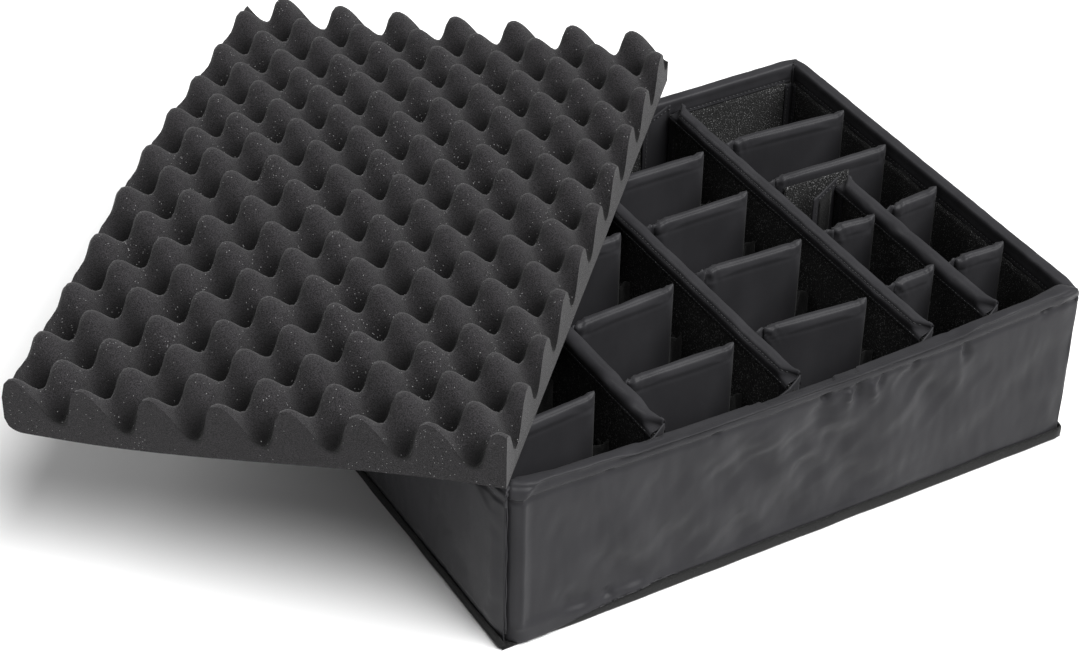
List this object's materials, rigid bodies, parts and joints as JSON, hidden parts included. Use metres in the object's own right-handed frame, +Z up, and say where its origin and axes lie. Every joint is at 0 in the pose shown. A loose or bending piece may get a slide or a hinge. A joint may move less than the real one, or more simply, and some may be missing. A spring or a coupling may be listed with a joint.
{
  "type": "padded divider tray",
  "caption": "Padded black divider tray of a waterproof transport case, its convoluted foam lid pad lying askew on top.",
  "frame": {"origin": "middle of the tray's flat underside, on the felt sole", "axes": "+Z up out of the tray, +X along the tray's long side to the right, +Y from the front wall to the back wall"},
  "size_m": [0.8311, 0.708, 0.2096],
  "materials": {
    "black_nylon": "satin",
    "black_loop_fabric": "matte",
    "black_felt": "matte",
    "grey_foam_board": "matte",
    "charcoal_foam": "matte"
  },
  "bodies": {
    "tray": {"back_left_corner_seam": "black_nylon", "back_right_corner_seam": "black_nylon", "back_wall_board": "grey_foam_board", "back_wall_cover": "black_nylon", "back_wall_lining": "black_loop_fabric", "base_board": "grey_foam_board", "felt_sole": "black_felt", "floor_lining": "black_loop_fabric", "front_left_corner_seam": "black_nylon", "front_right_corner_seam": "black_nylon", "front_wall_board": "grey_foam_board", "front_wall_cover": "black_nylon", "front_wall_lining": "black_loop_fabric", "left_wall_board": "grey_foam_board", "left_wall_cover": "black_nylon", "left_wall_lining": "black_loop_fabric", "right_wall_board": "grey_foam_board", "right_wall_cover": "black_nylon", "right_wall_lining": "black_loop_fabric"},
    "cross_divider_1_row_1": {"cross_divider_1_row_1": "black_nylon"},
    "cross_divider_1_row_2": {"cross_divider_1_row_2": "black_nylon"},
    "cross_divider_1_row_3": {"cross_divider_1_row_3": "black_nylon"},
    "cross_divider_1_row_4": {"cross_divider_1_row_4": "black_nylon"},
    "cross_divider_2_row_1": {"cross_divider_2_row_1": "black_nylon"},
    "cross_divider_2_row_2": {"cross_divider_2_row_2": "black_nylon"},
    "cross_divider_2_row_3": {"cross_divider_2_row_3": "black_nylon"},
    "cross_divider_2_row_4": {"cross_divider_2_row_4": "black_nylon"},
    "cross_divider_3_row_1": {"cross_divider_3_row_1": "black_nylon"},
    "cross_divider_3_row_2": {"cross_divider_3_row_2": "black_nylon"},
    "cross_divider_3_row_3": {"cross_divider_3_row_3": "black_nylon"},
    "cross_divider_3_row_4": {"cross_divider_3_row_4": "black_nylon"},
    "cross_divider_4_left_row_1": {"cross_divider_4_left_row_1": "black_nylon"},
    "cross_divider_4_left_row_2": {"cross_divider_4_left_row_2": "black_nylon"},
    "cross_divider_4_right_row_1": {"cross_divider_4_right_row_1": "black_nylon"},
    "cross_divider_4_right_row_2": {"cross_divider_4_right_row_2": "black_nylon"},
    "cross_divider_4_row_3": {"cross_divider_4_row_3": "black_nylon", "cross_divider_4_row_3_patch": "black_loop_fabric"},
    "cross_divider_4_row_4": {"cross_divider_4_row_4": "black_nylon"},
    "lid_pad": {"lid_foam_pad": "charcoal_foam"},
    "long_divider_1_back_tab": {"long_divider_1_back_tab": "black_nylon"},
    "long_divider_1": {"long_divider_1_board": "grey_foam_board", "long_divider_1_facing": "black_nylon", "long_divider_1_sleeve": "black_loop_fabric"},
    "long_divider_1_front_tab": {"long_divider_1_front_tab": "black_nylon"},
    "long_divider_2_back_tab": {"long_divider_2_back_tab": "black_nylon"},
    "long_divider_2": {"long_divider_2_board": "grey_foam_board", "long_divider_2_facing": "black_nylon", "long_divider_2_sleeve": "black_loop_fabric"},
    "long_divider_2_front_tab": {"long_divider_2_front_tab": "black_nylon"},
    "long_divider_3_back_tab": {"long_divider_3_back_tab": "black_nylon"},
    "long_divider_3": {"long_divider_3_board": "grey_foam_board", "long_divider_3_facing": "black_nylon", "long_divider_3_sleeve": "black_loop_fabric"},
    "long_divider_3_front_tab": {"long_divider_3_front_tab": "black_nylon"},
    "short_divider_back_tab": {"short_divider_back_tab": "black_nylon"},
    "short_divider": {"short_divider_board": "grey_foam_board", "short_divider_facing": "black_nylon", "short_divider_sleeve": "black_loop_fabric"},
    "short_divider_front_tab": {"short_divider_front_tab": "black_nylon"}
  },
  "joints": [
    {"name": "lid_pad_lift", "type": "slide", "parent": "tray", "child": "lid_pad", "axis": [0, 0, 1], "range_m": [0, 0.36]},
    {"name": "cross_divider_1_row_1_lift", "type": "slide", "parent": "tray", "child": "cross_divider_1_row_1", "axis": [0, 0, 1], "range_m": [0, 0.18]},
    {"name": "cross_divider_1_row_2_lift", "type": "slide", "parent": "tray", "child": "cross_divider_1_row_2", "axis": [0, 0, 1], "range_m": [0, 0.18]},
    {"name": "cross_divider_1_row_3_lift", "type": "slide", "parent": "tray", "child": "cross_divider_1_row_3", "axis": [0, 0, 1], "range_m": [0, 0.18]},
    {"name": "cross_divider_1_row_4_lift", "type": "slide", "parent": "tray", "child": "cross_divider_1_row_4", "axis": [0, 0, 1], "range_m": [0, 0.18]},
    {"name": "cross_divider_2_row_1_lift", "type": "slide", "parent": "tray", "child": "cross_divider_2_row_1", "axis": [0, 0, 1], "range_m": [0, 0.18]},
    {"name": "cross_divider_2_row_2_lift", "type": "slide", "parent": "tray", "child": "cross_divider_2_row_2", "axis": [0, 0, 1], "range_m": [0, 0.18]},
    {"name": "cross_divider_2_row_3_lift", "type": "slide", "parent": "tray", "child": "cross_divider_2_row_3", "axis": [0, 0, 1], "range_m": [0, 0.18]},
    {"name": "cross_divider_2_row_4_lift", "type": "slide", "parent": "tray", "child": "cross_divider_2_row_4", "axis": [0, 0, 1], "range_m": [0, 0.18]},
    {"name": "cross_divider_3_row_1_lift", "type": "slide", "parent": "tray", "child": "cross_divider_3_row_1", "axis": [0, 0, 1], "range_m": [0, 0.18]},
    {"name": "cross_divider_3_row_2_lift", "type": "slide", "parent": "tray", "child": "cross_divider_3_row_2", "axis": [0, 0, 1], "range_m": [0, 0.18]},
    {"name": "cross_divider_3_row_3_lift", "type": "slide", "parent": "tray", "child": "cross_divider_3_row_3", "axis": [0, 0, 1], "range_m": [0, 0.18]},
    {"name": "cross_divider_3_row_4_lift", "type": "slide", "parent": "tray", "child": "cross_divider_3_row_4", "axis": [0, 0, 1], "range_m": [0, 0.18]},
    {"name": "cross_divider_4_left_row_1_lift", "type": "slide", "parent": "tray", "child": "cross_divider_4_left_row_1", "axis": [0, 0, 1], "range_m": [0, 0.18]},
    {"name": "cross_divider_4_left_row_2_lift", "type": "slide", "parent": "tray", "child": "cross_divider_4_left_row_2", "axis": [0, 0, 1], "range_m": [0, 0.18]},
    {"name": "cross_divider_4_right_row_1_lift", "type": "slide", "parent": "tray", "child": "cross_divider_4_right_row_1", "axis": [0, 0, 1], "range_m": [0, 0.18]},
    {"name": "cross_divider_4_right_row_2_lift", "type": "slide", "parent": "tray", "child": "cross_divider_4_right_row_2", "axis": [0, 0, 1], "range_m": [0, 0.18]},
    {"name": "cross_divider_4_row_3_lift", "type": "slide", "parent": "tray", "child": "cross_divider_4_row_3", "axis": [0, 0, 1], "range_m": [0, 0.18]},
    {"name": "cross_divider_4_row_4_lift", "type": "slide", "parent": "tray", "child": "cross_divider_4_row_4", "axis": [0, 0, 1], "range_m": [0, 0.18]},
    {"name": "long_divider_1_back_tab_peel", "type": "hinge", "parent": "long_divider_1", "child": "long_divider_1_back_tab", "pos_m": [-0.12976, 0.1927, 0.0785], "axis": [0, 0, 1], "range_deg": [0, 45]},
    {"name": "long_divider_1_lift", "type": "slide", "parent": "tray", "child": "long_divider_1", "axis": [0, 0, 1], "range_m": [0, 0.18]},
    {"name": "long_divider_1_front_tab_peel", "type": "hinge", "parent": "long_divider_1", "child": "long_divider_1_front_tab", "pos_m": [-0.12156, -0.1892, 0.0785], "axis": [0, 0, -1], "range_deg": [0, 15]},
    {"name": "long_divider_2_back_tab_peel", "type": "hinge", "parent": "long_divider_2", "child": "long_divider_2_back_tab", "pos_m": [-0.0041, 0.1927, 0.0785], "axis": [0, 0, 1], "range_deg": [0, 45]},
    {"name": "long_divider_2_lift", "type": "slide", "parent": "tray", "child": "long_divider_2", "axis": [0, 0, 1], "range_m": [0, 0.18]},
    {"name": "long_divider_2_front_tab_peel", "type": "hinge", "parent": "long_divider_2", "child": "long_divider_2_front_tab", "pos_m": [0.0041, -0.1892, 0.0785], "axis": [0, 0, -1], "range_deg": [0, 15]},
    {"name": "long_divider_3_back_tab_peel", "type": "hinge", "parent": "long_divider_3", "child": "long_divider_3_back_tab", "pos_m": [0.12483, 0.1927, 0.0785], "axis": [0, 0, 1], "range_deg": [0, 45]},
    {"name": "long_divider_3_lift", "type": "slide", "parent": "tray", "child": "long_divider_3", "axis": [0, 0, 1], "range_m": [0, 0.18]},
    {"name": "long_divider_3_front_tab_peel", "type": "hinge", "parent": "long_divider_3", "child": "long_divider_3_front_tab", "pos_m": [0.13303, -0.1892, 0.0785], "axis": [0, 0, -1], "range_deg": [0, 15]},
    {"name": "short_divider_back_tab_peel", "type": "hinge", "parent": "short_divider", "child": "short_divider_back_tab", "pos_m": [0.18989, 0.02555, 0.0785], "axis": [0, 0, -1], "range_deg": [-5, 45]},
    {"name": "short_divider_lift", "type": "slide", "parent": "tray", "child": "short_divider", "axis": [0, 0, 1], "range_m": [0, 0.18]},
    {"name": "short_divider_front_tab_peel", "type": "hinge", "parent": "short_divider", "child": "short_divider_front_tab", "pos_m": [0.19809, -0.1892, 0.0785], "axis": [0, 0, -1], "range_deg": [0, 15]}
  ],
  "couplings": [
    {"joint": "cross_divider_1_row_1_lift", "follows": "lid_pad_lift", "ratio": 0.5},
    {"joint": "cross_divider_1_row_2_lift", "follows": "lid_pad_lift", "ratio": 0.5},
    {"joint": "cross_divider_1_row_3_lift", "follows": "lid_pad_lift", "ratio": 0.5},
    {"joint": "cross_divider_1_row_4_lift", "follows": "lid_pad_lift", "ratio": 0.5},
    {"joint": "cross_divider_2_row_2_lift", "follows": "lid_pad_lift", "ratio": 0.5},
    {"joint": "cross_divider_2_row_3_lift", "follows": "lid_pad_lift", "ratio": 0.5},
    {"joint": "cross_divider_2_row_4_lift", "follows": "lid_pad_lift", "ratio": 0.5},
    {"joint": "cross_divider_3_row_4_lift", "follows": "lid_pad_lift", "ratio": 0.5},
    {"joint": "long_divider_1_lift", "follows": "lid_pad_lift", "ratio": 0.5},
    {"joint": "long_divider_2_lift", "follows": "lid_pad_lift", "ratio": 0.5},
    {"joint": "long_divider_3_lift", "follows": "lid_pad_lift", "ratio": 0.5}
  ]
}
